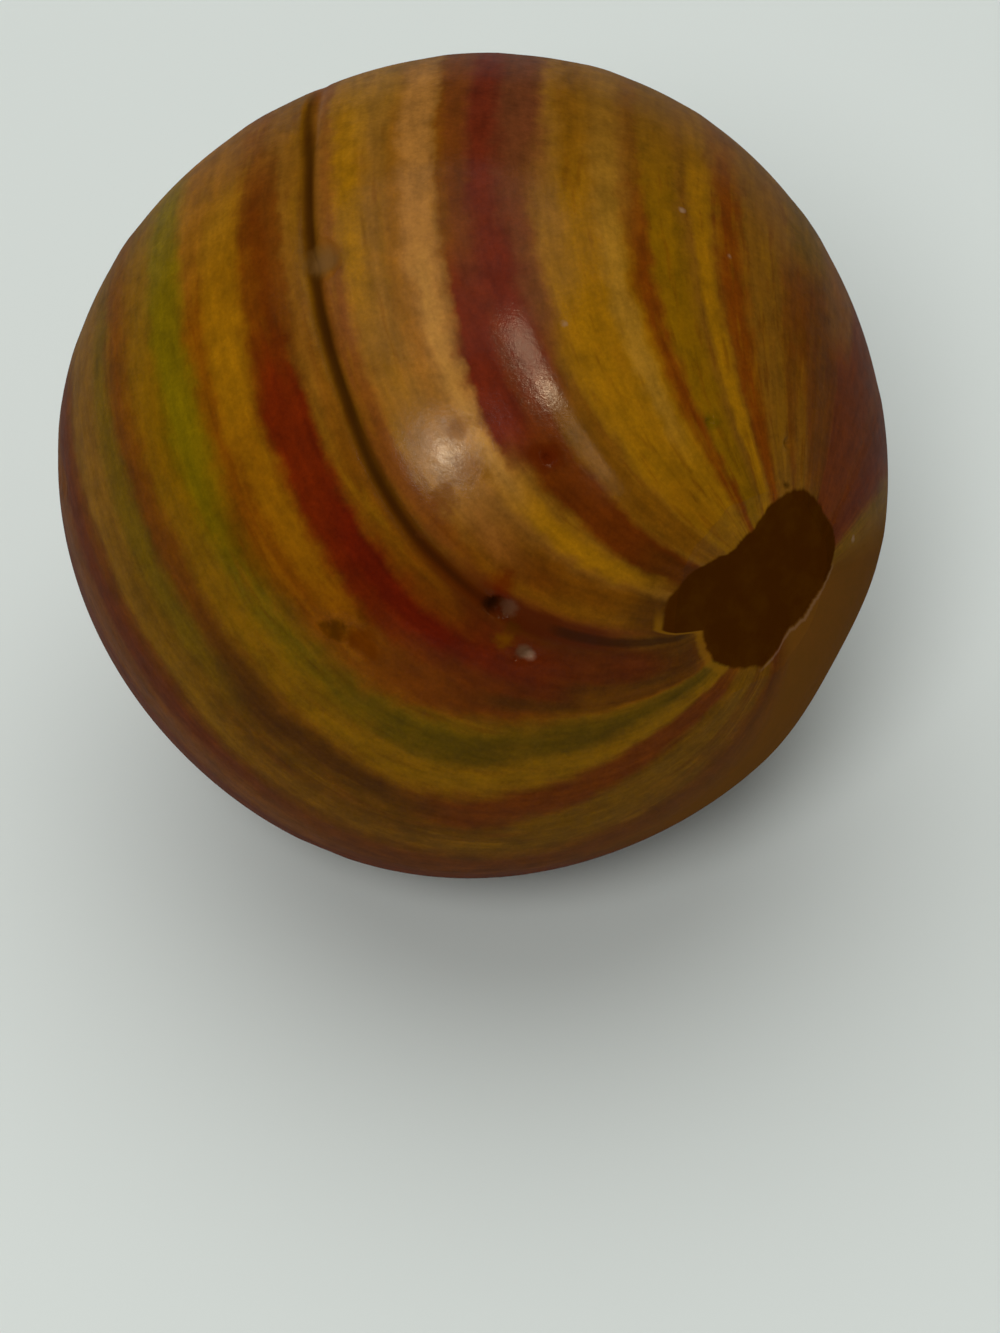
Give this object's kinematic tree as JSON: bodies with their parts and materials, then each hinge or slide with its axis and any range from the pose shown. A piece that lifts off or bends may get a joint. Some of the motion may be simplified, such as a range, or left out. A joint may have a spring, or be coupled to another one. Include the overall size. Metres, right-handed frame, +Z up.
{
  "type": "glass marble",
  "caption": "Handmade opaque glass marble: a slightly uneven ball with twisted bands of amber, yellow, red, orange and green glass, an open crease and an end ground flat to its dark core.",
  "frame": {"origin": "middle of the ball", "axes": "+Z up as the marble rests in a ring, +X to the right and -Y towards the front, with the ground end towards +X, -Y and a little up"},
  "size_m": [0.0177, 0.0178, 0.0178],
  "materials": {
    "banded_glass": "opaque amber glass with twisted bands of yellow, red, orange and green, satin from wear, matte and dark brown where it is ground"
  },
  "bodies": {
    "root": {"marble": "banded_glass"}
  },
  "joints": []
}
